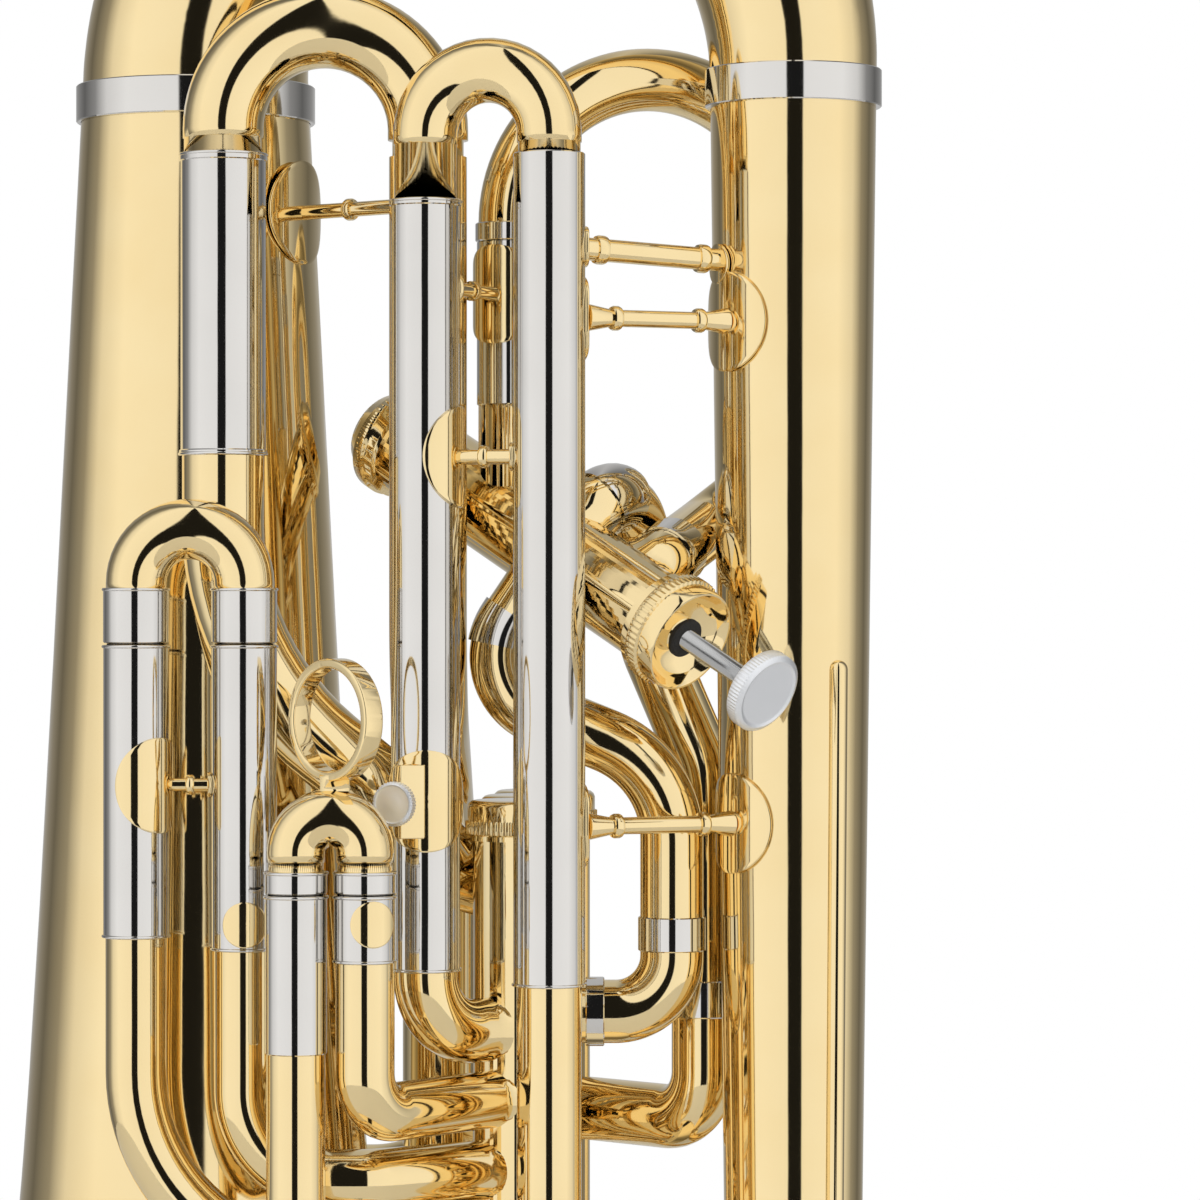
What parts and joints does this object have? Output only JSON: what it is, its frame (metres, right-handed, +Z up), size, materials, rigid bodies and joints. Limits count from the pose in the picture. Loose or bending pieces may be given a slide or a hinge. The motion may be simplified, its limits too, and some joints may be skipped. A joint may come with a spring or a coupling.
{
  "type": "compensating tuba",
  "caption": "Piston-valve tuba with a conical bell, nested bows, sliding tuning crooks and a fourth valve set across the front; stands on its bell.",
  "frame": {"origin": "centre of the bell rim, on the plane the instrument stands on", "axes": "+Z up the bell axis away from the mouth, -Y towards the player's side with the slides, +X from the bell to the outer branch"},
  "size_m": [0.4321, 0.4152, 0.7733],
  "materials": {
    "lacquered_brass": "polished and lacquered",
    "nickel_silver": "polished",
    "monel": "lapped",
    "silver_plate": "plated, knurled edge"
  },
  "bodies": {
    "horn": {"bell_brace": "lacquered_brass", "bell_flare": "lacquered_brass", "bell_rim": "lacquered_brass", "bell_stack": "lacquered_brass", "bottom_bow": "lacquered_brass", "branch_braces": "lacquered_brass", "branch_guard_wire": "lacquered_brass", "branch_link": "lacquered_brass", "diagonal_tube": "lacquered_brass", "ferrules": "nickel_silver", "fourth_slide_elbows": "lacquered_brass", "fourth_slide_receivers": "nickel_silver", "front_link": "lacquered_brass", "inner_branch_down": "lacquered_brass", "inner_branch_up": "lacquered_brass", "leadpipe": "lacquered_brass", "left_brace": "lacquered_brass", "left_slide_bends": "lacquered_brass", "left_slide_receivers": "nickel_silver", "lower_bow": "lacquered_brass", "lyre_holder": "lacquered_brass", "main_slide_receiver": "nickel_silver", "mouthpiece_receiver": "nickel_silver", "outer_branch": "lacquered_brass", "rear_link": "lacquered_brass", "return_tube": "lacquered_brass", "slide_braces": "lacquered_brass", "small_bow": "lacquered_brass", "small_slide_bends": "lacquered_brass", "small_slide_receivers": "nickel_silver", "top_bow": "lacquered_brass", "upper_link": "lacquered_brass", "valve_1_bottom_cap": "lacquered_brass", "valve_1_casing": "lacquered_brass", "valve_1_top_cap": "lacquered_brass", "valve_2_bottom_cap": "lacquered_brass", "valve_2_casing": "lacquered_brass", "valve_2_top_cap": "lacquered_brass", "valve_3_bottom_cap": "lacquered_brass", "valve_3_casing": "lacquered_brass", "valve_3_top_cap": "lacquered_brass", "valve_4_back_cap": "lacquered_brass", "valve_4_casing": "lacquered_brass", "valve_4_front_cap": "lacquered_brass", "valve_knuckles": "lacquered_brass"},
    "main_slide_body": {"main_slide": "lacquered_brass"},
    "fourth_slide_body": {"fourth_slide": "lacquered_brass"},
    "left_slide_body": {"left_slide": "lacquered_brass"},
    "small_slide_body": {"small_slide": "lacquered_brass", "finger_ring": "lacquered_brass"},
    "lyre_screw_body": {"lyre_screw": "silver_plate"},
    "valve_1_moving": {"valve_1_piston": "monel", "valve_1_button": "silver_plate"},
    "valve_2_moving": {"valve_2_piston": "monel", "valve_2_button": "silver_plate"},
    "valve_3_moving": {"valve_3_piston": "monel", "valve_3_button": "silver_plate"},
    "valve_4_moving": {"valve_4_piston": "monel", "valve_4_button": "silver_plate"}
  },
  "joints": [
    {"name": "valve_1_press", "type": "slide", "parent": "horn", "child": "valve_1_moving", "axis": [0, 0, 1], "range_m": [0, 0.017], "stiffness_N_per_m": 180, "springref_m": -0.02},
    {"name": "valve_2_press", "type": "slide", "parent": "horn", "child": "valve_2_moving", "axis": [0, 0, 1], "range_m": [0, 0.017], "stiffness_N_per_m": 180, "springref_m": -0.02},
    {"name": "valve_3_press", "type": "slide", "parent": "horn", "child": "valve_3_moving", "axis": [0, 0, 1], "range_m": [0, 0.017], "stiffness_N_per_m": 180, "springref_m": -0.02},
    {"name": "valve_4_press", "type": "slide", "parent": "horn", "child": "valve_4_moving", "axis": [-0.6527, 0.6111, 0.4477], "range_m": [0, 0.017], "stiffness_N_per_m": 180, "springref_m": -0.02},
    {"name": "main_slide_pull", "type": "slide", "parent": "horn", "child": "main_slide_body", "axis": [0, 0, 1], "range_m": [0, 0.03]},
    {"name": "fourth_slide_pull", "type": "slide", "parent": "horn", "child": "fourth_slide_body", "axis": [0, 0, 1], "range_m": [0, 0.15]},
    {"name": "left_slide_pull", "type": "slide", "parent": "horn", "child": "left_slide_body", "axis": [0, 0, 1], "range_m": [0, 0.06]},
    {"name": "small_slide_pull", "type": "slide", "parent": "horn", "child": "small_slide_body", "axis": [0, 0, 1], "range_m": [0, 0.012]},
    {"name": "lyre_screw_turn", "type": "hinge", "parent": "horn", "child": "lyre_screw_body", "pos_m": [0.0708, -0.0951, 0.4066], "axis": [-0.41, -0.9121, 0], "continuous": true}
  ]
}
